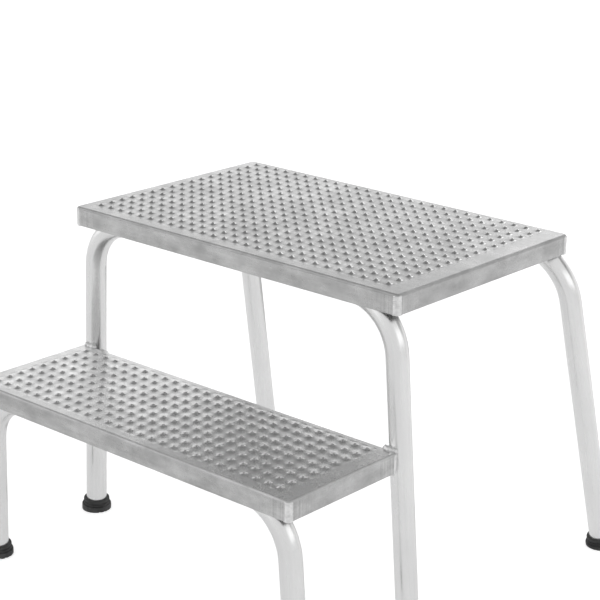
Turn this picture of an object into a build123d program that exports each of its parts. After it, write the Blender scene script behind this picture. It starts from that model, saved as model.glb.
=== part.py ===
from build123d import *
import os
from math import cos, floor, pi, radians, sin, sqrt, tan

# Platform steps: two dimpled sheet trays on three bent-tube bows, all welded, on rubber feet.
# X runs along the treads, Y from the front to the back, Z up. The origin is on the floor, in the
# middle of the space that the steps take up.

# Treads, in millimetres
tread_length = 580.0        # along X, both treads
platform_depth = 364.0
lower_depth = 203.0
first_rise = 267.5          # floor to lower tread
rise = 207.5                # lower tread to platform
sheet = 2.5                 # sheet thickness
skirt = 27.0                # height of the folded rim, from its lower edge to the tread's top
corner_radius = 6.5         # upright corners of the trays, outside
bend_radius = 3.0           # fold between the top and the skirts, outside

# Raised dimples of the treads
dimple_pitch = 20.0
dimple_crown = 3.2          # radius of the round top
dimple_flank = 5.2          # radius of the hollow flank between the top and the sheet
dimple_slope = radians(46)  # steepest slope, where the top meets the flank
dimple_foot = 0.03          # how far the flank's lowest point lies under the sheet's surface
punch_foot = 3.6            # radius of the punch mark below a dimple, at the sheet's lower face
punch_tip = 1.2             # and at its upper end
platform_left_margin = 22.5     # tread's edge to the first dimple's middle
platform_right_margin = 37.5    # least distance from the last dimple's middle to the far edge
platform_front_margin = 28.4
platform_back_margin = 15.6
lower_left_margin = 25.5
lower_right_margin = 34.5
lower_front_margin = 23.9
lower_back_margin = 19.1

# Bows
tube_diameter = 30.0
tube_wall = 2.0
bow_bend = 75.0             # bend radius on the tube's axis, front and middle bows
rear_bend = 80.0
leg_inset = 20.0            # corner of the front and middle bows, inside the tread's ends
run_gap = 2.5               # between each bow's top run and the skirt that it follows
splay = radians(3.5)        # each leg outwards, in the plane of its bow
lean = radians(1.5)         # front and middle bows, backwards at the foot
rear_lean = radians(12.0)   # rear bow, backwards at the foot
seat_gap = 0.3              # between a round tube and what it carries or touches

# Crossbar between the middle legs, behind the lower tread
bar_diameter = 25.0
bar_wall = 2.0
bar_lift = 3.0              # axis of the bar over the lower edge of the skirt

# Hat-section ribs under the treads
rib_flange = 10.0           # width of each flange beside the trough
rib_trough = 24.0           # outside width of the trough
rib_height = 20.0
rib_sheet = 2.0
rib_spacing = 200.0         # between the two ribs of a tread
rib_end_gap = 2.0           # from a rib's end to the tube or skirt beyond it

# Rubber feet
foot_wall = 4.0             # sleeve round the tube
foot_sleeve = 11.0          # length of the sleeve above the tube's end
foot_sole = 7.0             # rubber under the tube's end, on the leg's axis
foot_flare = 2.5            # extra radius of the toe ring
foot_toe = 9.0              # height of the toe ring, on the leg's axis
foot_clearance = 0.15       # between the sleeve and the tube
foot_round = 1.5            # rounding of the toe ring and of the sleeve's mouth
groove_width = 2.0          # grooves round the sleeve and across the sole
groove_depth = 1.0
groove_pitch = 7.0
sleeve_grooves = 1
sole_grooves = 4

# Welds
weld_gap = 0.1              # between a bead and a round tube
ripple_pitch = 2.6          # along a corner seam
ripple_depth = 0.5
stitch_length = 45.0
stitch_end_gap = 6.947      # from an outer stitch to the start of the bow's bend
stitch_count = 3
stitch_crown = 0.8          # how far a stitch bulges
stitch_toe = radians(60)    # where a stitch ends on the tube, below the run's axis
collar_leg = 3.5            # size of the weld collars on the crossbar
valley_near = 4.5           # stitches above the line where a skirt and the crossbar touch: nearest point
valley_far = 9.5            # and farthest point
edge_bead = 4.0             # radius of the beads between the lower tread's back edge and the legs

# Sizes that follow
tube_radius = tube_diameter / 2
bar_radius = bar_diameter / 2
half_length = tread_length / 2
lower_top = first_rise
platform_top = first_rise + rise
dimple_radius = (dimple_crown + dimple_flank) * sin(dimple_slope)
dimple_height = (dimple_crown + dimple_flank) * (1 - cos(dimple_slope)) - dimple_foot
run_drop = sheet + seat_gap + tube_radius
run_inset = sheet + run_gap + tube_radius
foot_radius = tube_radius + foot_wall
toe_radius = foot_radius + foot_flare

# Places along Y. The lower tread's back face touches the middle legs, and the origin is half way
# from the lower tread's front face to the back of the rear feet.
platform_run = platform_top - run_drop
platform_overhang = (
    run_inset + (platform_run - lower_top) * tan(lean) - tube_radius / cos(lean) - seat_gap
)
rear_reach = platform_run * tan(rear_lean) + toe_radius / cos(rear_lean) - run_inset
base_depth = lower_depth - platform_overhang + platform_depth + rear_reach
lower_front = -base_depth / 2
lower_back = lower_front + lower_depth
platform_front = lower_back - platform_overhang
platform_back = platform_front + platform_depth


class Bow:
    """The axis of one bent tube: a run along X and two legs, in a plane that leans back at the foot.

    A side is -1 on the left and 1 on the right.
    """

    def __init__(self, run_y, top, half_run, bend, lean):
        self.run_y = run_y
        self.run_z = top - run_drop
        self.half_run = half_run
        self.bend = bend
        self.lean = lean
        self.leg_length = self.run_z / (cos(splay) * cos(lean))

    def plane(self):
        """Local X along the run, local Y up along the legs."""
        normal = (0, -cos(self.lean), -sin(self.lean))
        return Plane((0, self.run_y, self.run_z), x_dir=(1, 0, 0), z_dir=normal)

    def corners(self):
        """Ends and corners of the axis in the bow's plane, from the left foot to the right one."""
        tube_length = self.leg_length - foot_sole
        end_x = self.half_run + tube_length * sin(splay)
        end_y = -tube_length * cos(splay)
        return [(-end_x, end_y), (-self.half_run, 0), (self.half_run, 0), (end_x, end_y)]

    def leg_up(self, side):
        """Direction of a leg, upwards."""
        return Vector(-side * sin(splay), -cos(splay) * sin(self.lean), cos(splay) * cos(self.lean))

    def leg_point(self, side, height):
        """Point of a leg's axis, at a height along the leg from where it meets the floor."""
        corner = Vector(side * self.half_run, self.run_y, self.run_z)
        return corner - self.leg_up(side) * (self.leg_length - height)

    def leg_level(self, side, level):
        """Point of a leg's axis, at a level above the floor."""
        return self.leg_point(side, level / (cos(splay) * cos(self.lean)))

    def leg_plane(self, side, height):
        """Plane across a leg, with its normal up along the leg."""
        return Plane(self.leg_point(side, height), x_dir=(1, 0, 0), z_dir=self.leg_up(side))


# The rear bow is as wide as the side skirts let it be: its bends pass just under their lower edges.
edge_drop = (skirt - run_drop) / cos(rear_lean)
edge_reach = rear_bend + (tube_radius + seat_gap) / cos(rear_lean)
bend_start = half_length - sheet - sqrt(edge_reach**2 - (rear_bend - edge_drop) ** 2)
rear_half_run = bend_start + rear_bend * tan(pi / 4 - splay / 2)

half_run = half_length - leg_inset
straight_half_run = half_run - bow_bend * tan(pi / 4 - splay / 2)
outer_stitch = straight_half_run - stitch_end_gap - stitch_length / 2
stitch_spacing = 2 * outer_stitch / max(stitch_count - 1, 1)
front_axis = Bow(lower_front + run_inset, lower_top, half_run, bow_bend, lean)
middle_axis = Bow(platform_front + run_inset, platform_top, half_run, bow_bend, lean)
rear_axis = Bow(platform_back - run_inset, platform_top, rear_half_run, rear_bend, rear_lean)
sides = {"left": -1, "right": 1}


def dimple_count(length, near_margin, far_margin):
    """Number of dimples in a row between two margins."""
    rounding = 1e-6
    return floor((length - near_margin - far_margin) / dimple_pitch + rounding) + 1


def make_stud():
    """One dimple, on a root that ends half way down the sheet. Its base is the sheet's surface."""
    tip = dimple_height - dimple_crown
    hollow = dimple_flank - dimple_foot
    turn_x = dimple_crown * sin(dimple_slope)
    turn_z = tip + dimple_crown * cos(dimple_slope)
    half_slope = dimple_slope / 2
    crown_middle = (dimple_crown * sin(half_slope), tip + dimple_crown * cos(half_slope))
    flank_middle = (dimple_radius - dimple_flank * sin(half_slope), hollow - dimple_flank * cos(half_slope))
    with BuildPart() as stud:
        with BuildSketch(Plane.XZ):
            with BuildLine():
                ThreePointArc((0, dimple_height), crown_middle, (turn_x, turn_z))
                ThreePointArc((turn_x, turn_z), flank_middle, (dimple_radius, -dimple_foot))
                Polyline(
                    (dimple_radius, -dimple_foot),
                    (dimple_radius, -sheet / 2),
                    (0, -sheet / 2),
                    (0, dimple_height),
                )
            make_face()
        revolve(axis=Axis.Z)
    return stud.part


def make_tread(front, depth, top, margin_x, margin_y):
    """A sheet folded down on four sides, open below and at the corners, with embossed dimples.

    The margins are pairs: left and right, front and back.
    """
    columns = dimple_count(tread_length, *margin_x)
    rows = dimple_count(depth, *margin_y)
    grid_x = -half_length + margin_x[0] + (columns - 1) * dimple_pitch / 2
    grid_y = front + margin_y[0] + (rows - 1) * dimple_pitch / 2
    stud = make_stud()
    with BuildPart() as tread:
        with BuildSketch(Plane.XY.offset(top - skirt)):
            with Locations((0, front + depth / 2)):
                RectangleRounded(tread_length, depth, corner_radius)
        extrude(amount=skirt)
        fillet(tread.faces().sort_by(Axis.Z)[-1].edges(), bend_radius)
        offset(amount=-sheet, openings=tread.faces().sort_by(Axis.Z)[0])
        with BuildSketch(Plane.XY.offset(top - skirt)):
            with Locations((0, front + depth / 2)):
                with GridLocations(tread_length - corner_radius, depth - corner_radius, 2, 2):
                    Rectangle(corner_radius, corner_radius)
        extrude(amount=skirt - bend_radius, mode=Mode.SUBTRACT)
        with Locations((grid_x, grid_y, top)):
            with GridLocations(dimple_pitch, dimple_pitch, columns, rows):
                add(stud)
        with Locations((grid_x, grid_y, top - sheet)):
            with GridLocations(dimple_pitch, dimple_pitch, columns, rows):
                upright = (Align.CENTER, Align.CENTER, Align.MIN)
                Cone(punch_foot, punch_tip, dimple_height, align=upright, mode=Mode.SUBTRACT)
    return tread.part


def make_corner_welds(front, depth, top):
    """Rippled seams that fill the open upright corners of a tray."""
    height = skirt - bend_radius
    ripples = max(1, round(height / ripple_pitch))
    step = height / ripples
    inner = corner_radius - sheet
    valley = corner_radius - ripple_depth
    with BuildPart() as welds:
        for side_x in (-1, 1):
            for side_y in (-1, 1):
                centre = Vector(
                    side_x * (half_length - corner_radius),
                    front + depth / 2 + side_y * (depth / 2 - corner_radius),
                    top - skirt,
                )
                with BuildSketch(Plane(centre, x_dir=(side_x, 0, 0), z_dir=(0, -side_x, 0))):
                    with BuildLine():
                        Polyline((valley, height), (inner, height), (inner, 0), (valley, 0))
                        for k in range(ripples):
                            ThreePointArc(
                                (valley, k * step),
                                (corner_radius, (k + 0.5) * step),
                                (valley, (k + 1) * step),
                            )
                    make_face()
                revolve(axis=Axis(centre, (0, 0, 1)), revolution_arc=90 * side_x * side_y)
    return welds.part


def make_bow(bow):
    """A round tube bent to a run and two legs, cut square at the feet."""
    with BuildPart() as tube:
        with BuildLine(bow.plane()) as path:
            FilletPolyline(*bow.corners(), radius=bow.bend)
        with BuildSketch(Plane(path.line @ 0, z_dir=path.line % 0)):
            Circle(tube_radius)
            Circle(tube_radius - tube_wall, mode=Mode.SUBTRACT)
        sweep()
    return tube.part


def make_stitches(bow, skirt_y, inward):
    """Stitch welds from the foot of a skirt to a bow's run. Inward is 1 at a front, -1 at a back."""
    edge_z = bow.run_z + run_drop - skirt
    toe_y = run_inset - tube_radius * cos(stitch_toe)
    toe_z = bow.run_z - tube_radius * sin(stitch_toe)
    with BuildPart() as stitches:
        for k in range(stitch_count):
            middle = (k - (stitch_count - 1) / 2) * stitch_spacing
            with BuildSketch(Plane((middle, skirt_y, 0), x_dir=(0, inward, 0), z_dir=(inward, 0, 0))):
                with BuildLine():
                    Polyline((toe_y, toe_z), (run_inset, bow.run_z), (sheet, bow.run_z), (sheet, edge_z))
                    SagittaArc((sheet, edge_z), (toe_y, toe_z), stitch_crown)
                make_face()
                with Locations((run_inset, bow.run_z)):
                    Circle(tube_radius + weld_gap, mode=Mode.SUBTRACT)
            extrude(amount=stitch_length / 2, both=True)
    return stitches.part


def make_rib(x, start, end, top):
    """A hat-section rib under a tread, from one Y to another, its flanges against the sheet."""
    with BuildPart() as rib:
        with BuildSketch(Plane((x, end, top - sheet), x_dir=(1, 0, 0), z_dir=(0, -1, 0))):
            with Locations((0, -rib_height / 2)):
                Rectangle(rib_trough, rib_height)
            with Locations((0, -rib_sheet / 2)):
                Rectangle(rib_trough + 2 * rib_flange, rib_sheet)
            with Locations((0, -(rib_height - rib_sheet) / 2)):
                Rectangle(rib_trough - 2 * rib_sheet, rib_height - rib_sheet, mode=Mode.SUBTRACT)
        extrude(amount=end - start)
    return rib.part


bar_z = lower_top - skirt + bar_lift
bar_y = lower_back + seat_gap + bar_radius
bar_plane = Plane((0, bar_y, bar_z), x_dir=(0, 1, 0), z_dir=(1, 0, 0))


def make_crossbar():
    """A straight tube between the middle legs, its ends cut to fit round them."""
    with BuildPart() as bar:
        with BuildSketch(bar_plane):
            Circle(bar_radius)
            Circle(bar_radius - bar_wall, mode=Mode.SUBTRACT)
        extrude(amount=middle_axis.leg_level(1, bar_z).X, both=True)
        for side in sides.values():
            with BuildSketch(middle_axis.leg_plane(side, 0)):
                Circle(tube_radius + seat_gap)
            extrude(amount=middle_axis.leg_length, mode=Mode.SUBTRACT)
    return bar.part


def make_collar(side):
    """A weld round one end of the crossbar, following the joint between the two tubes."""
    with BuildPart() as collar:
        with BuildSketch(bar_plane):
            Circle(bar_radius + collar_leg)
            Circle(bar_radius + weld_gap, mode=Mode.SUBTRACT)
        extrude(amount=side * middle_axis.leg_level(1, bar_z).X)
        with BuildSketch(middle_axis.leg_plane(side, 0)):
            Circle(tube_radius + collar_leg)
            Circle(tube_radius + weld_gap, mode=Mode.SUBTRACT)
        extrude(amount=middle_axis.leg_length, mode=Mode.INTERSECT)
        split(bisect_by=Plane((0, lower_back, 0), z_dir=(0, 1, 0)), keep=Keep.TOP)
    return collar.part


def make_tread_to_leg_welds():
    """Beads in the groove between the lower tread's rounded back edge and each middle leg."""
    with BuildPart() as beads:
        for side in sides.values():
            leg = middle_axis.leg_level(side, lower_top)
            corner = side * (half_length - corner_radius)
            with BuildSketch(Plane((corner, lower_back, lower_top), x_dir=(0, 1, 0), z_dir=(1, 0, 0))):
                Circle(edge_bead)
                with Locations((-bend_radius, -bend_radius)):
                    Circle(bend_radius, mode=Mode.SUBTRACT)
                with Locations((-bend_radius, 0), (0, -bend_radius)):
                    Rectangle(edge_bead, edge_bead, align=(Align.MAX, Align.MAX), mode=Mode.SUBTRACT)
            extrude(amount=leg.X - side * tube_radius - corner)
        for side in sides.values():
            with BuildSketch(middle_axis.leg_plane(side, 0)):
                Circle(tube_radius + weld_gap)
            extrude(amount=middle_axis.leg_length, mode=Mode.SUBTRACT)
    return beads.part


def make_crossbar_stitches():
    """Stitch welds above the line where the lower tread's back skirt touches the crossbar."""
    foot_z = bar_z + valley_near
    head_z = bar_z + valley_far
    with BuildPart() as stitches:
        for k in range(stitch_count):
            middle = (k - (stitch_count - 1) / 2) * stitch_spacing
            with BuildSketch(Plane((middle, lower_back, 0), x_dir=(0, 1, 0), z_dir=(1, 0, 0))):
                with BuildLine():
                    Polyline((0, head_z), (0, foot_z), (bar_radius, foot_z), (bar_radius / 2, head_z))
                    SagittaArc((bar_radius / 2, head_z), (0, head_z), -stitch_crown)
                make_face()
                with Locations((seat_gap + bar_radius, bar_z)):
                    Circle(bar_radius + weld_gap, mode=Mode.SUBTRACT)
            extrude(amount=stitch_length / 2, both=True)
    return stitches.part


def make_foot(bow, side):
    """A rubber cap on a tube's end, round the leg's axis and cut flat by the floor."""
    up_leg = Axis(bow.leg_point(side, 0), bow.leg_up(side))
    sole = bow.leg_point(side, 0)
    with BuildPart() as foot:
        with BuildSketch(bow.leg_plane(side, -toe_radius)):
            Circle(toe_radius)
        extrude(amount=toe_radius + foot_toe)
        fillet(foot.faces().sort_by(up_leg)[-1].edges(), foot_round)
        with BuildSketch(bow.leg_plane(side, 0)):
            Circle(foot_radius)
        extrude(amount=foot_sole + foot_sleeve)
        fillet(foot.faces().sort_by(up_leg)[-1].edges(), foot_round)
        with BuildSketch(bow.leg_plane(side, foot_sole)):
            Circle(tube_radius + foot_clearance)
        extrude(amount=foot_sleeve, mode=Mode.SUBTRACT)
        for k in range(sleeve_grooves):
            height = foot_toe + (k + 0.5) * groove_pitch
            with BuildSketch(bow.leg_plane(side, height)):
                Circle(foot_radius + foot_flare)
                Circle(foot_radius - groove_depth, mode=Mode.SUBTRACT)
            extrude(amount=groove_width, mode=Mode.SUBTRACT)
        split(bisect_by=Plane.XY, keep=Keep.TOP)
        with BuildSketch():
            with Locations((sole.X, sole.Y)):
                with GridLocations(0, groove_pitch, 1, sole_grooves):
                    Rectangle(4 * toe_radius, groove_width)
        extrude(amount=groove_depth, mode=Mode.SUBTRACT)
    return foot.part


os.makedirs("parts", exist_ok=True)


def save(part, name):
    """Write one piece to its own file."""
    part.label = name
    export_step(part, f"parts/{name}.step")


platform_margin_x = (platform_left_margin, platform_right_margin)
platform_margin_y = (platform_front_margin, platform_back_margin)
lower_margin_x = (lower_left_margin, lower_right_margin)
lower_margin_y = (lower_front_margin, lower_back_margin)
platform = make_tread(platform_front, platform_depth, platform_top, platform_margin_x, platform_margin_y)
save(platform, "platform_tread")
lower_step = make_tread(lower_front, lower_depth, lower_top, lower_margin_x, lower_margin_y)
save(lower_step, "lower_tread")
save(make_corner_welds(platform_front, platform_depth, platform_top), "platform_corner_welds")
save(make_corner_welds(lower_front, lower_depth, lower_top), "lower_corner_welds")

bows = {"front": front_axis, "middle": middle_axis, "rear": rear_axis}
for name, bow in bows.items():
    save(make_bow(bow), f"{name}_bow")
    for side_name, side in sides.items():
        save(make_foot(bow, side), f"{name}_{side_name}_foot")
save(make_stitches(front_axis, lower_front, 1), "front_bow_welds")
save(make_stitches(middle_axis, platform_front, 1), "middle_bow_welds")
save(make_stitches(rear_axis, platform_back, -1), "rear_bow_welds")

run_clear = tube_radius + rib_end_gap
for side_name, side in sides.items():
    rib_x = side * rib_spacing / 2
    platform_rib = make_rib(rib_x, middle_axis.run_y + run_clear, rear_axis.run_y - run_clear, platform_top)
    save(platform_rib, f"platform_rib_{side_name}")
    lower_rib = make_rib(rib_x, front_axis.run_y + run_clear, lower_back - sheet - rib_end_gap, lower_top)
    save(lower_rib, f"lower_rib_{side_name}")

save(make_crossbar(), "middle_crossbar")
with BuildPart() as collars:
    add(make_collar(sides["left"]))
    add(make_collar(sides["right"]))
save(collars.part, "crossbar_welds")
save(make_crossbar_stitches(), "crossbar_stitches")
save(make_tread_to_leg_welds(), "tread_to_leg_welds")
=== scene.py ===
from math import cos, floor, pi, radians, sin, sqrt

import bmesh
import bpy
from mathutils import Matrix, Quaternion, Vector, noise


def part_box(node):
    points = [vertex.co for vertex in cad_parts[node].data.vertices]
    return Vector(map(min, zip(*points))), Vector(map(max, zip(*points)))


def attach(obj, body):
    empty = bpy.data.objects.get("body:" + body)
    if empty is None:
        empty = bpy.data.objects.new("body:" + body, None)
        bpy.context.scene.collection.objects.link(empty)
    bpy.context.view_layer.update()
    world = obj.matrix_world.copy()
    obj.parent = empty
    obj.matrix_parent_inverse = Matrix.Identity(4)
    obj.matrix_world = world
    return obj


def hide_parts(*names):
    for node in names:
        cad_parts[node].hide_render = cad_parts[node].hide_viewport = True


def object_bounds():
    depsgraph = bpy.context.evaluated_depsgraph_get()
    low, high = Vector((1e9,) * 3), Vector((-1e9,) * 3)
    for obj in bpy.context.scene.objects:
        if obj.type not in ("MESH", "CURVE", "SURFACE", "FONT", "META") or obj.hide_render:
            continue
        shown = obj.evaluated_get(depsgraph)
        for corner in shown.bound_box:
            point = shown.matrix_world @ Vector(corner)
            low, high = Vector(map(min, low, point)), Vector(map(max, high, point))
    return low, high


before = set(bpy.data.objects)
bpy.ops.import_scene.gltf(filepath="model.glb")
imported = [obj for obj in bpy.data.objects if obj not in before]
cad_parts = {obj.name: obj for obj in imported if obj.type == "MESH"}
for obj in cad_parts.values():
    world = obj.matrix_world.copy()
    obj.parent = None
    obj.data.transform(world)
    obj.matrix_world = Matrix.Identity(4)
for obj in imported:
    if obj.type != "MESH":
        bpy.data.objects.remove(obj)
cad_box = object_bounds()

# Dimples of the treads: the grid, and the place of the first one from the tread's left front corner
DIMPLE_PITCH = 0.020
DIMPLE_RADIUS = 0.00604
DIMPLE_HEIGHT = 0.002535
DIMPLE_START = {"platform_tread": (0.0225, 0.0284), "lower_tread": (0.0255, 0.0239)}
DIMPLE_COUNT = {"platform_tread": (27, 17), "lower_tread": (27, 9)}

# How far the sheet is drawn up round the dimples
PILLOW = 0.00035

# Middle of the platform's front edge. The camera, the screen and the lamp are placed from here.
platform_low, platform_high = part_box("platform_tread")
FRONT_EDGE = Vector((0.0, platform_low.y, platform_high.z - DIMPLE_HEIGHT))

# Camera, in degrees and metres, at the photograph's place. It aims at a point below the platform.
CAMERA_AZIMUTH = 41.539
CAMERA_ELEVATION = 18.362
CAMERA_ROLL = 0.652
CAMERA_DISTANCE = 2.5285
CAMERA_AIM = FRONT_EDGE + Vector((-0.00185, 0.15160, -0.1093))
CAMERA_LENS = 109.93

# Grey level and roughness of the sheet, on the treads, on their skirts and on the ribs
# The lower tread's top is given a lighter grey than the platform's: painted light.
TOP_TONE_AND_PAINTED_LIGHT = {"platform_tread": 0.60, "lower_tread": 0.70}
# The skirts' grey, darker than the tops they are folded from, is painted shade.
SKIRT_SHADED_TONE = 0.49
TREAD_ROUGHNESS = 0.28
RIB_TONE = 0.55
RIB_ROUGHNESS = 0.42

# Mill finish: how far clouds, streaks and grain change the sheet's grey level, roughness and height
CLOUD_TONE = 0.34
CLOUD_ROUGHNESS = 0.22
CLOUD_DEPTH = 0.0006
STREAK_TONE = 0.12
STREAK_DEPTH = 0.00012
GRAIN_ROUGHNESS = 0.14
GRAIN_DEPTH = 0.00005

# Skirts: blotches, and upright brush marks, with the distances from a corner where these begin and are full
BLOTCH_TONE = 0.42
BRUSH_TONE = 0.40
BRUSH_REACH = (0.055, 0.012)

# Masks of the treads: where each begins and is full, in metres below the flat top or before the right end
SKIRT_BELOW = (0.002, 0.005)
FOLD_TOP = (0.0002, 0.0006)
FOLD_FOOT = (0.0045, 0.003)
RIGHT_FOLD_EDGE = (0.0031, 0.0026)
RIGHT_FOLD_FOOT = (0.0032, 0.0026)
FIELD_BELOW = (0.001, 0.0002)
FIELD_MARGIN = 0.2
# The folds' darker grey is painted shade; they are rougher too.
FOLD_PAINTED_SHADE = -0.10
FOLD_ROUGHNESS = 0.40

# Painted shade round the dimples' feet, in radii from the middle, and worn crowns, from a share of the
# height
SHADE_RING = (1.7, 0.95)
DIMPLE_FOOT_SHADE = -0.08
CROWN_FROM = 0.35
CROWN_TONE = 0.12
CROWN_ROUGHNESS = -0.08

# Tubes: grey level and roughness, and the lean of the bows at the foot, in degrees
TUBE_TONE = 0.70
TUBE_ROUGHNESS = 0.16
BOW_LEAN = {"front_bow": 1.5, "middle_bow": 1.5, "rear_bow": 12.0}

# Weld beads and rubber: grey level and roughness, soot on the beads, and dust on the rubber near the floor
WELD_TONE = 0.84
WELD_ROUGHNESS = 0.40
SOOT_TONE = -0.18
RUBBER_TONE = 0.018
RUBBER_ROUGHNESS = 0.5
DUST_TONE = 0.05
DUST_HEIGHT = 0.03

# Trays: outside radius of the upright corners and of the folds, and the sheet's thickness
CORNER_RADIUS = 0.0065
BEND_RADIUS = 0.003
SHEET = 0.0025

# Steps of a weld bead: the length of one, its curve across the bead, and how uneven their heights are
STEP_LENGTH = 0.0026
STEP_CURVE = 0.4
STEP_UNEVEN = 0.25
STEP_TURN = 2.4

# Corner seams: points on the front and the back of a ring, rings, reach on the skirts, and the seam's form
SEAM_FRONT = 26
SEAM_BACK = 8
SEAM_ROWS = 84
SEAM_SPREAD = 0.0022
SEAM_FOOT = 0.0008
SEAM_HEAD = 0.0019
SEAM_TAPER = 4.0
SEAM_ROUNDING = 2.5
SEAM_HEIGHT = 0.0003
SEAM_RIPPLE = 0.0010
SEAM_LUMP = 0.0004
SEAM_LUMPS_PER_METRE = 420
SEAM_SINK = 0.0003
BOX_MARGIN = 0.00001

# Beads at the legs: both ends from the middle of the tread, points in a ring, rings, and the bead's form
LEG_BEAD = (0.2655, 0.2885)
LEG_BEAD_AROUND = 22
LEG_BEAD_ROWS = 64
LEG_BEAD_TAPER = 4
LEG_BEAD_THIN_END = 0.02
LEG_BEAD_OFFSET = 0.0003
LEG_BEAD_RADIUS = 0.0032
LEG_BEAD_RIPPLE = 0.0012
LEG_BEAD_LUMP = 0.0013
LEG_BEAD_LUMP_REACH = 0.003
LEG_BEAD_LUMPS_PER_METRE = 230

# Light. Radiance 1 is white. The edges of ceiling and window are cosines from their middle.
WALL_LIGHT = 0.85
CEILING_LIGHT = 0.30
CEILING_TOWARDS = Vector((-0.30, -0.05, 0.95))
CEILING_EDGE = (0.62, 0.82)
WINDOW_LIGHT = 0.6
WINDOW_TOWARDS = Vector((-0.75, -0.66, 0.25))
WINDOW_EDGE = (0.70, 0.95)
BACKDROP_Y = FRONT_EDGE.y + 1.0285
BACKDROP_BOX = (-2.4, 1.6, 0.0, FRONT_EDGE.z + 1.085)
BACKDROP_LEVELS = ((FRONT_EDGE.z - 0.015, 1.10), (FRONT_EDGE.z + 0.885, 0.22))
BACKDROP_SLOPE = -0.24
BACKDROP_BASE = (0.20, 0.42, 0.45)
BACKDROP_BASE_RIGHT = (0.0, 0.4)
GLARE_LIGHT = 2.0
GLARE_LEFT = (-0.32, -0.16)
GLARE_RIGHT = (0.30, 0.50)
GLARE_FOOT = (FRONT_EDGE.z + 0.365, FRONT_EDGE.z + 0.465)
RIGHT_LIGHT_PLACE = FRONT_EDGE + Vector((1.9, 0.48, 0.435))
RIGHT_LIGHT_AIM = FRONT_EDGE + Vector((-0.29, 0.13, -0.165))
RIGHT_LIGHT_SIZE = (2.2, 0.7)
RIGHT_LIGHT_RADIANCE = 0.5
FLOOR_RADIUS = 9.0
FLOOR_DROP = 0.0003
FLOOR_COLOUR = 0.80
FLOOR_LIFT = 0.64
FLOOR_GLOSS_LIFT = 0.30


class Nodes:
    """Short ways to add nodes to one node tree."""

    def __init__(self, tree):
        self.tree = tree
        tree.nodes.clear()

    def feed(self, socket, value):
        """Link a socket to an input, or set the input to a number, colour or vector."""
        if isinstance(value, bpy.types.NodeSocket):
            self.tree.links.new(value, socket)
        else:
            socket.default_value = value

    def add(self, kind, inputs=None, **settings):
        """A new node. Inputs are given by name or number."""
        node = self.tree.nodes.new(kind)
        for name, value in settings.items():
            setattr(node, name, value)
        for key, value in (inputs or {}).items():
            self.feed(node.inputs[key], value)
        return node

    def math(self, operation, a, b=0.0, c=0.0):
        return self.add("ShaderNodeMath", {0: a, 1: b, 2: c}, operation=operation).outputs[0]

    def dot(self, vector, direction):
        node = self.add("ShaderNodeVectorMath", {0: vector, 1: direction}, operation="DOT_PRODUCT")
        return node.outputs["Value"]

    def stretch(self, vector, factors):
        node = self.add("ShaderNodeVectorMath", {0: vector, 1: factors}, operation="MULTIPLY")
        return node.outputs[0]

    def combine(self, x, y, z):
        return self.add("ShaderNodeCombineXYZ", {0: x, 1: y, 2: z}).outputs[0]

    def split(self, vector):
        return self.add("ShaderNodeSeparateXYZ", {0: vector}).outputs

    def remap(self, value, low, high, to_low=0.0, to_high=1.0):
        """Value from low to high, smoothly, to another range."""
        inputs = {0: value, 1: low, 2: high, 3: to_low, 4: to_high}
        return self.add("ShaderNodeMapRange", inputs, interpolation_type="SMOOTHSTEP").outputs[0]

    def before(self, value, edge, distances):
        """A mask that begins and is full at two distances before an edge."""
        begins, full = distances
        return self.remap(value, edge - begins, edge - full)

    def noise(self, vector, scale, detail=4.0, roughness=0.55):
        inputs = {"Vector": vector, "Scale": scale, "Detail": detail, "Roughness": roughness}
        return self.add("ShaderNodeTexNoise", inputs).outputs[0]

    def grey(self, level):
        """A grey colour from a number between 0 and 1."""
        return self.combine(level, level, level)

    def bump(self, height, distance, normal=None):
        inputs = {"Height": height, "Distance": distance, "Strength": 1.0}
        if normal is not None:
            inputs["Normal"] = normal
        return self.add("ShaderNodeBump", inputs).outputs[0]


class Surface(Nodes):
    """A material with one Principled shader. Its place is the point on the part, in metres."""

    def __init__(self, name):
        self.material = bpy.data.materials.new(name)
        self.material.use_nodes = True
        super().__init__(self.material.node_tree)
        self.place = self.add("ShaderNodeTexCoord").outputs["Object"]
        self.shader = self.add("ShaderNodeBsdfPrincipled")
        self.add("ShaderNodeOutputMaterial", {"Surface": self.shader.outputs[0]})

    def finish(self, **inputs):
        """Set or link the shader's inputs, with underscores for the spaces in their names."""
        for name, value in inputs.items():
            self.feed(self.shader.inputs[name.replace("_", " ")], value)
        return self.material


def grey_colour(level):
    return (level, level, level, 1.0)


def mill_mottle(s):
    """Cloudy patches, rolling streaks along X and fine grain of plain rolled sheet, each from 0 to 1."""
    clouds = s.noise(s.place, 26.0, detail=5.0, roughness=0.62)
    streaks = s.noise(s.stretch(s.place, (7.0, 260.0, 260.0)), 1.0, detail=4.0, roughness=0.6)
    grain = s.noise(s.place, 900.0, detail=3.0)
    return clouds, streaks, grain


def sheet_metal(name, level, roughness):
    """Mill-finish aluminium sheet: mottled, with faint rolling streaks."""
    s = Surface(name)
    clouds, streaks, grain = mill_mottle(s)
    tone = s.math("MULTIPLY_ADD", clouds, CLOUD_TONE, level - CLOUD_TONE / 2)
    tone = s.math("MULTIPLY_ADD", streaks, STREAK_TONE, s.math("SUBTRACT", tone, STREAK_TONE / 2))
    rough = s.math("MULTIPLY_ADD", clouds, -CLOUD_ROUGHNESS, roughness + CLOUD_ROUGHNESS / 2)
    rough = s.math("MULTIPLY_ADD", grain, GRAIN_ROUGHNESS, s.math("SUBTRACT", rough, GRAIN_ROUGHNESS / 2))
    waves = s.bump(clouds, CLOUD_DEPTH)
    lines = s.bump(streaks, STREAK_DEPTH, waves)
    fine = s.bump(grain, GRAIN_DEPTH, lines)
    return s, tone, rough, fine


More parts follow.
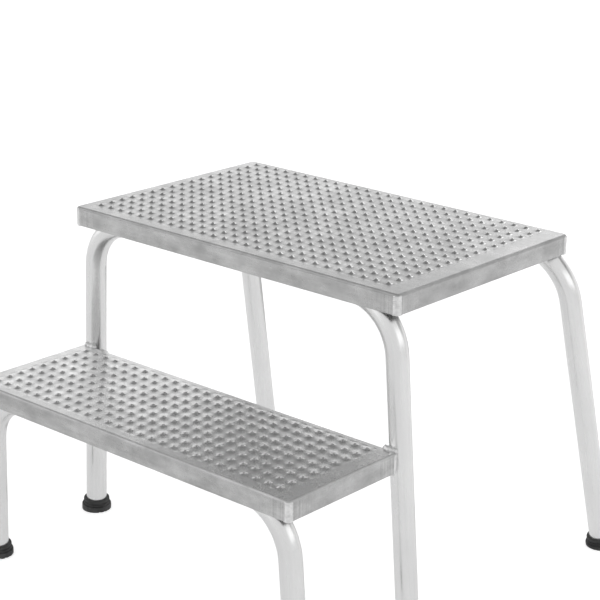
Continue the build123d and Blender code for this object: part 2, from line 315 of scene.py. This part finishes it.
def skirt_marks(s, low, high):
    """Blotches of the skirts, and upright brush marks next to the corner seams, round 0."""
    x, y, _ = s.split(s.place)
    blotches = s.noise(s.stretch(s.place, (20.0, 20.0, 55.0)), 1.0, detail=5.0, roughness=0.6)
    brushed = s.noise(s.stretch(s.place, (380.0, 380.0, 7.0)), 1.0, detail=3.0)
    from_middle = s.math("ABSOLUTE", s.math("SUBTRACT", y, (low.y + high.y) / 2))
    to_side = s.math("SUBTRACT", (high.x - low.x) / 2, s.math("ABSOLUTE", x))
    to_end = s.math("SUBTRACT", (high.y - low.y) / 2, from_middle)
    near = s.remap(s.math("MAXIMUM", to_side, to_end), *BRUSH_REACH)
    marks = s.math("MULTIPLY", s.math("SUBTRACT", brushed, 0.5), near)
    blotches = s.math("MULTIPLY_ADD", blotches, BLOTCH_TONE, -BLOTCH_TONE / 2)
    return s.math("MULTIPLY_ADD", marks, BRUSH_TONE, blotches)


def tread_metal(node):
    """Sheet metal with rougher folds in painted shade, marked skirts in painted shade, painted shade round
    the foot of each dimple, and worn, brighter crowns.
    """
    low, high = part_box(node)
    top = high.z - DIMPLE_HEIGHT
    # Each top's grey; the lower tread's is lifted by painted light.
    s, tone, rough, normal = sheet_metal(f"{node}_metal", TOP_TONE_AND_PAINTED_LIGHT[node], TREAD_ROUGHNESS)
    x, y, z = s.split(s.place)
    below = s.before(z, top, SKIRT_BELOW)
    fold = s.math("MULTIPLY", s.before(z, top, FOLD_TOP), s.before(z, top, FOLD_FOOT))
    side = s.math("MULTIPLY", s.before(x, high.x, RIGHT_FOLD_EDGE), s.before(z, top, RIGHT_FOLD_FOOT))
    fold = s.math("MAXIMUM", fold, side)
    rough = s.math("MULTIPLY_ADD", fold, FOLD_ROUGHNESS, rough)
    # Painted shade: the folds are drawn darker.
    tone = s.math("MULTIPLY_ADD", fold, FOLD_PAINTED_SHADE, tone)
    # Painted shade: the skirts are drawn darker than the top.
    tone = s.math("MULTIPLY_ADD", below, SKIRT_SHADED_TONE - TOP_TONE_AND_PAINTED_LIGHT[node], tone)
    tone = s.math("MULTIPLY_ADD", below, skirt_marks(s, low, high), tone)
    field = s.before(z, top, FIELD_BELOW)
    squares = 0.0
    waves = 0.0
    for axis, corner, start, count in zip((x, y), low, DIMPLE_START[node], DIMPLE_COUNT[node]):
        steps = s.math("DIVIDE", s.math("SUBTRACT", axis, corner + start), DIMPLE_PITCH)
        offset = s.math("PINGPONG", steps, 0.5)
        squares = s.math("MULTIPLY_ADD", offset, offset, squares)
        waves = s.math("ADD", s.math("COSINE", s.math("MULTIPLY", offset, 2 * pi)), waves)
        from_centre = s.math("ABSOLUTE", s.math("SUBTRACT", steps, (count - 1) / 2))
        field = s.math("MULTIPLY", field, s.remap(from_centre, count / 2, count / 2 - FIELD_MARGIN))
    from_middle = s.math("MULTIPLY", s.math("SQRT", squares), DIMPLE_PITCH)
    ring = s.remap(from_middle, *[DIMPLE_RADIUS * radii for radii in SHADE_RING])
    crown = s.remap(z, top + CROWN_FROM * DIMPLE_HEIGHT, top + DIMPLE_HEIGHT)
    # Painted shade: a darker ring round each dimple's foot, in the field, off the crowns.
    foot_shade = s.math("MULTIPLY", s.math("MULTIPLY", ring, field), s.math("SUBTRACT", 1.0, crown))
    normal = s.bump(s.math("MULTIPLY", waves, s.math("MULTIPLY", field, 0.5)), PILLOW, normal)
    tone = s.math("MULTIPLY_ADD", foot_shade, DIMPLE_FOOT_SHADE, tone)
    tone = s.math("MULTIPLY_ADD", crown, CROWN_TONE, tone)
    rough = s.math("MULTIPLY_ADD", crown, CROWN_ROUGHNESS, rough)
    return s.finish(Base_Color=s.grey(tone), Metallic=1.0, Roughness=rough, Normal=normal)


def rib_metal():
    """Plain sheet metal of the ribs."""
    s, tone, rough, normal = sheet_metal("rib_metal", RIB_TONE, RIB_ROUGHNESS)
    return s.finish(Base_Color=s.grey(tone), Metallic=1.0, Roughness=rough, Normal=normal)


def drawn_lines(s, across, fineness, drift, detail):
    """Lines along a tube, from 0 to 1: how close they lie across it, and how they change along it."""
    x, _, z = s.split(s.place)
    place = s.combine(s.math("MULTIPLY", across, fineness), s.math("MULTIPLY", x, drift),
                      s.math("MULTIPLY", z, drift))
    return s.noise(place, 1.0, detail=detail)


def tube_metal(node, lean):
    """Drawn aluminium tube: satin, with fine lines along the tube, round its bends too."""
    s = Surface(f"{node}_metal")
    across = s.dot(s.place, (0.0, cos(radians(lean)), sin(radians(lean))))
    broad = drawn_lines(s, across, 420.0, 6.0, 3.0)
    fine = drawn_lines(s, across, 2600.0, 14.0, 2.0)
    clouds = s.noise(s.place, 18.0, detail=4.0)
    tone = s.math("MULTIPLY_ADD", broad, 0.10, TUBE_TONE)
    tone = s.math("MULTIPLY_ADD", clouds, 0.10, tone)
    rough = s.math("MULTIPLY_ADD", fine, 0.12, TUBE_ROUGHNESS)
    rough = s.math("MULTIPLY_ADD", clouds, 0.08, rough)
    normal = s.bump(fine, 0.00004, s.bump(broad, 0.00012))
    return s.finish(Base_Color=s.grey(tone), Metallic=1.0, Roughness=rough, Normal=normal)


def weld_metal():
    """Weld bead: bright and brushed, with uneven ripples and a little soot."""
    s = Surface("weld_metal")
    lumps = s.noise(s.place, 320.0, detail=3.0)
    soot = s.noise(s.place, 90.0, detail=5.0, roughness=0.65)
    tone = s.math("MULTIPLY_ADD", s.remap(soot, 0.35, 0.7), SOOT_TONE, WELD_TONE)
    rough = s.math("MULTIPLY_ADD", lumps, 0.2, WELD_ROUGHNESS)
    normal = s.bump(lumps, 0.0002)
    return s.finish(Base_Color=s.grey(tone), Metallic=1.0, Roughness=rough, Normal=normal)


def foot_rubber():
    """Moulded black rubber, dusty towards the floor."""
    s = Surface("foot_rubber_black")
    height = s.split(s.place)[2]
    pores = s.noise(s.place, 1400.0, detail=2.0)
    patches = s.noise(s.place, 60.0, detail=5.0)
    dust = s.math("MULTIPLY", s.remap(height, DUST_HEIGHT, 0.0), s.remap(patches, 0.35, 0.75))
    tone = s.math("MULTIPLY_ADD", patches, 0.02, RUBBER_TONE)
    tone = s.math("MULTIPLY_ADD", dust, DUST_TONE, tone)
    rough = s.math("MULTIPLY_ADD", patches, 0.2, RUBBER_ROUGHNESS)
    normal = s.bump(pores, 0.00015)
    return s.finish(Base_Color=s.grey(tone), Roughness=rough, Normal=normal)


def crescent(along, across):
    """Height, from 0 to 1, of a bead that was laid in overlapping steps. Across goes from -1 to 1."""
    steps = along / STEP_LENGTH + STEP_CURVE * across * across
    part = steps - floor(steps)
    uneven = 1 - STEP_UNEVEN + STEP_UNEVEN * sin(STEP_TURN * floor(steps))
    return uneven * sqrt(max(0.0, 1 - (2 * part - 1) ** 2))


def make_beads(node, beads):
    """Closed beads in place of a CAD node. Each bead is a list of rings of points."""
    points = []
    faces = []
    for rings in beads:
        start = len(points)
        count = len(rings[0])
        last = start + (len(rings) - 1) * count
        for ring in rings:
            points.extend(ring)
        for row in range(start, last, count):
            for j in range(count):
                k = (j + 1) % count
                faces.append((row + j, row + k, row + count + k, row + count + j))
        faces.append(tuple(range(start, start + count)))
        faces.append(tuple(range(last, last + count)))
    mesh = bpy.data.meshes.new(f"{node}_beads")
    mesh.from_pydata(points, [], faces)
    turned = bmesh.new()
    turned.from_mesh(mesh)
    bmesh.ops.recalc_face_normals(turned, faces=turned.faces)
    turned.to_mesh(mesh)
    turned.free()
    mesh.shade_smooth()
    mesh.materials.append(bpy.data.materials["weld_metal"])
    piece = bpy.data.objects.new(f"{node}_beads", mesh)
    bpy.context.scene.collection.objects.link(piece)
    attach(piece, "root")
    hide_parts(node)


def corner_seam(corner, side_x, side_y, bottom, top):
    """Rings of one corner seam, from the bottom up.

    The corner is the centre of the tray's rounding, on the floor.
    """
    arc = CORNER_RADIUS * pi / 2
    length = arc + 2 * SEAM_SPREAD
    foot = bottom - SEAM_FOOT
    head = top - SEAM_HEAD
    rings = []
    for i in range(SEAM_ROWS + 1):
        z = foot + (head - foot) * i / SEAM_ROWS
        ends = min(1.0, SEAM_TAPER * sqrt(min(i, SEAM_ROWS - i) / SEAM_ROWS))
        rounding = max(0.0, z - (top - BEND_RADIUS))
        inset = BEND_RADIUS - sqrt(BEND_RADIUS**2 - rounding**2)
        ring = []
        for j in range(SEAM_FRONT + 1):
            across = 2 * j / SEAM_FRONT - 1
            s = length * j / SEAM_FRONT - SEAM_SPREAD
            on_arc = min(max(s, 0.0), arc)
            angle = on_arc / CORNER_RADIUS
            normal = Vector((side_x * sin(angle), side_y * cos(angle), 0.0))
            along = Vector((side_x * cos(angle), -side_y * sin(angle), 0.0))
            point = corner + normal * CORNER_RADIUS + along * (s - on_arc) + Vector((0, 0, z))
            hump = 1 - abs(across) ** SEAM_ROUNDING
            lumps = SEAM_LUMP * noise.noise(point * SEAM_LUMPS_PER_METRE)
            height = hump * ends * (SEAM_HEIGHT + SEAM_RIPPLE * crescent(z, across) + lumps)
            point += normal * (height - SEAM_SINK * (1 - hump) - inset)
            ring.append((point.x, max(point.y, cad_box[0][1] + BOX_MARGIN), point.z))
        for j in range(SEAM_BACK + 1):
            angle = pi / 2 * (1 - j / SEAM_BACK)
            back = Vector((side_x * sin(angle), side_y * cos(angle), 0.0)) * (CORNER_RADIUS - SHEET)
            point = corner + back + Vector((0, 0, min(z, top - BEND_RADIUS)))
            ring.append(tuple(point))
        rings.append(ring)
    return rings


def corner_seams(tread):
    """The four corner seams of a tray."""
    low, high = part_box(tread)
    seams = []
    for side_x, edge_x in ((-1, low.x), (1, high.x)):
        for side_y, edge_y in ((-1, low.y), (1, high.y)):
            corner = Vector((edge_x - side_x * CORNER_RADIUS, edge_y - side_y * CORNER_RADIUS, 0.0))
            seams.append(corner_seam(corner, side_x, side_y, low.z, high.z - DIMPLE_HEIGHT))
    return seams


def leg_bead(side, back, top):
    """Rings of the bead between the lower tread's back edge and one leg."""
    inner_end, outer_end = LEG_BEAD
    rings = []
    for i in range(LEG_BEAD_ROWS + 1):
        x = side * (inner_end + (outer_end - inner_end) * i / LEG_BEAD_ROWS)
        ends = sqrt(max(LEG_BEAD_THIN_END, 1 - (2 * i / LEG_BEAD_ROWS - 1) ** LEG_BEAD_TAPER))
        ring = []
        for j in range(LEG_BEAD_AROUND):
            angle = 2 * pi * j / LEG_BEAD_AROUND
            outwards = Vector((0.0, cos(angle), sin(angle)))
            point = Vector((x, back - LEG_BEAD_OFFSET, top + LEG_BEAD_OFFSET))
            spot = (point + outwards * LEG_BEAD_LUMP_REACH) * LEG_BEAD_LUMPS_PER_METRE
            lumps = LEG_BEAD_LUMP * noise.noise(spot)
            radius = ends * (LEG_BEAD_RADIUS + LEG_BEAD_RIPPLE * crescent(x, cos(angle)) + lumps)
            ring.append(tuple(point + outwards * radius))
        rings.append(ring)
    return rings


def leg_beads(tread):
    """The beads at both legs."""
    _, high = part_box(tread)
    return [leg_bead(side, high.y, high.z - DIMPLE_HEIGHT) for side in (-1, 1)]


def dress(material, *nodes):
    """Give CAD nodes a material."""
    for node in nodes:
        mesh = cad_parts[node].data
        mesh.materials.clear()
        mesh.materials.append(material)


def make_world():
    """White walls, a window in front at the left, a darker ceiling, and white where the camera looks."""
    world = bpy.data.worlds.new("studio")
    world.use_nodes = True
    bpy.context.scene.world = world
    n = Nodes(world.node_tree)
    direction = n.add("ShaderNodeTexCoord").outputs["Generated"]
    ceiling = n.remap(n.dot(direction, CEILING_TOWARDS.normalized()), *CEILING_EDGE)
    level = n.math("MULTIPLY_ADD", ceiling, CEILING_LIGHT - WALL_LIGHT, WALL_LIGHT)
    window = n.remap(n.dot(direction, WINDOW_TOWARDS.normalized()), *WINDOW_EDGE)
    level = n.math("MULTIPLY_ADD", window, WINDOW_LIGHT, level)
    seen = n.add("ShaderNodeLightPath").outputs["Is Camera Ray"]
    strength = n.math("MAXIMUM", level, seen)
    background = n.add("ShaderNodeBackground", {"Color": grey_colour(1.0), "Strength": strength})
    n.add("ShaderNodeOutputWorld", {"Surface": background.outputs[0]})


def make_floor():
    """A pale floor, lifted to white where it is seen, that keeps the shadow."""
    bpy.ops.mesh.primitive_circle_add(vertices=128, radius=FLOOR_RADIUS, fill_type="NGON",
                                      location=(0, 0, -FLOOR_DROP))
    ground = bpy.context.object
    ground.name = "floor"
    material = bpy.data.materials.new("floor_pale")
    material.use_nodes = True
    n = Nodes(material.node_tree)
    rays = n.add("ShaderNodeLightPath").outputs
    lifted = n.math("MULTIPLY", rays["Is Camera Ray"], FLOOR_LIFT)
    lifted = n.math("MULTIPLY_ADD", rays["Is Glossy Ray"], FLOOR_GLOSS_LIFT, lifted)
    paint = n.add("ShaderNodeBsdfDiffuse", {"Color": grey_colour(FLOOR_COLOUR)})
    lift = n.add("ShaderNodeEmission", {"Strength": lifted})
    both = n.add("ShaderNodeAddShader", {0: paint.outputs[0], 1: lift.outputs[0]})
    n.add("ShaderNodeOutputMaterial", {"Surface": both.outputs[0]})
    ground.data.materials.append(material)


def make_backdrop():
    """A screen behind the steps: brighter low down and to the left, with a glare high in the middle.

    Its base is darker, except at the right. The camera looks through it.
    """
    left, right, low, high = BACKDROP_BOX
    corners = [(x, BACKDROP_Y, z) for x, z in ((left, low), (right, low), (right, high), (left, high))]
    mesh = bpy.data.meshes.new("backdrop")
    mesh.from_pydata(corners, [], [(0, 1, 2, 3)])
    material = bpy.data.materials.new("backdrop_glow")
    material.use_nodes = True
    n = Nodes(material.node_tree)
    x, _, z = n.split(n.add("ShaderNodeTexCoord").outputs["Object"])
    (foot, foot_level), (head, head_level) = BACKDROP_LEVELS
    level = n.remap(z, foot, head, foot_level, head_level)
    level = n.math("MAXIMUM", n.math("MULTIPLY_ADD", x, BACKDROP_SLOPE, level), head_level)
    base_low, base_high, base_level = BACKDROP_BASE
    base = n.math("MULTIPLY", n.remap(z, base_high, base_low), n.remap(x, *reversed(BACKDROP_BASE_RIGHT)))
    level = n.math("MULTIPLY", level, n.math("MULTIPLY_ADD", base, base_level - 1.0, 1.0))
    glare = n.math("MULTIPLY", n.remap(x, *GLARE_LEFT), n.remap(x, *reversed(GLARE_RIGHT)))
    glare = n.math("MULTIPLY", glare, n.remap(z, *GLARE_FOOT))
    level = n.math("MULTIPLY_ADD", glare, GLARE_LIGHT, level)
    glow = n.add("ShaderNodeEmission", {"Strength": level})
    clear = n.add("ShaderNodeBsdfTransparent")
    seen = n.add("ShaderNodeLightPath").outputs["Is Camera Ray"]
    either = n.add("ShaderNodeMixShader", {0: seen, 1: glow.outputs[0], 2: clear.outputs[0]})
    n.add("ShaderNodeOutputMaterial", {"Surface": either.outputs[0]})
    backdrop = bpy.data.objects.new("backdrop", mesh)
    mesh.materials.append(material)
    bpy.context.scene.collection.objects.link(backdrop)


def make_softbox(name, place, aim, size, radiance):
    """A rectangular lamp that faces a point. It isn't seen directly."""
    lamp = bpy.data.lights.new(name, "AREA")
    lamp.shape = "RECTANGLE"
    lamp.size, lamp.size_y = size
    lamp.energy = radiance * size[0] * size[1] * pi
    box = bpy.data.objects.new(name, lamp)
    box.location = place
    box.rotation_mode = "QUATERNION"
    box.rotation_quaternion = (aim - place).to_track_quat("-Z", "Y")
    box.visible_camera = False
    bpy.context.scene.collection.objects.link(box)


def make_camera():
    """The photograph's camera."""
    azimuth, elevation = radians(CAMERA_AZIMUTH), radians(CAMERA_ELEVATION)
    back = Vector((sin(azimuth) * cos(elevation), -cos(azimuth) * cos(elevation), sin(elevation)))
    camera = bpy.data.objects.new("camera", bpy.data.cameras.new("camera"))
    camera.data.lens = CAMERA_LENS
    camera.location = CAMERA_AIM + back * CAMERA_DISTANCE
    camera.rotation_mode = "QUATERNION"
    roll = Quaternion((0, 0, 1), radians(CAMERA_ROLL))
    camera.rotation_quaternion = (-back).to_track_quat("-Z", "Y") @ roll
    bpy.context.scene.collection.objects.link(camera)
    bpy.context.scene.camera = camera


for node in DIMPLE_START:
    dress(tread_metal(node), node)
dress(rib_metal(), *[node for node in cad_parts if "_rib_" in node])
for node, lean in BOW_LEAN.items():
    dress(tube_metal(node, lean), node)
dress(tube_metal("middle_crossbar", 0.0), "middle_crossbar")
dress(weld_metal(), *[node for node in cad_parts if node.endswith(("_welds", "_stitches"))])
dress(foot_rubber(), *[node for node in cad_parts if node.endswith("_foot")])

make_beads("platform_corner_welds", corner_seams("platform_tread"))
make_beads("lower_corner_welds", corner_seams("lower_tread"))
make_beads("tread_to_leg_welds", leg_beads("lower_tread"))

make_world()
make_floor()
make_backdrop()
make_softbox("right_light", RIGHT_LIGHT_PLACE, RIGHT_LIGHT_AIM, RIGHT_LIGHT_SIZE, RIGHT_LIGHT_RADIANCE)
make_camera()
bpy.context.scene.view_settings.view_transform = "Standard"
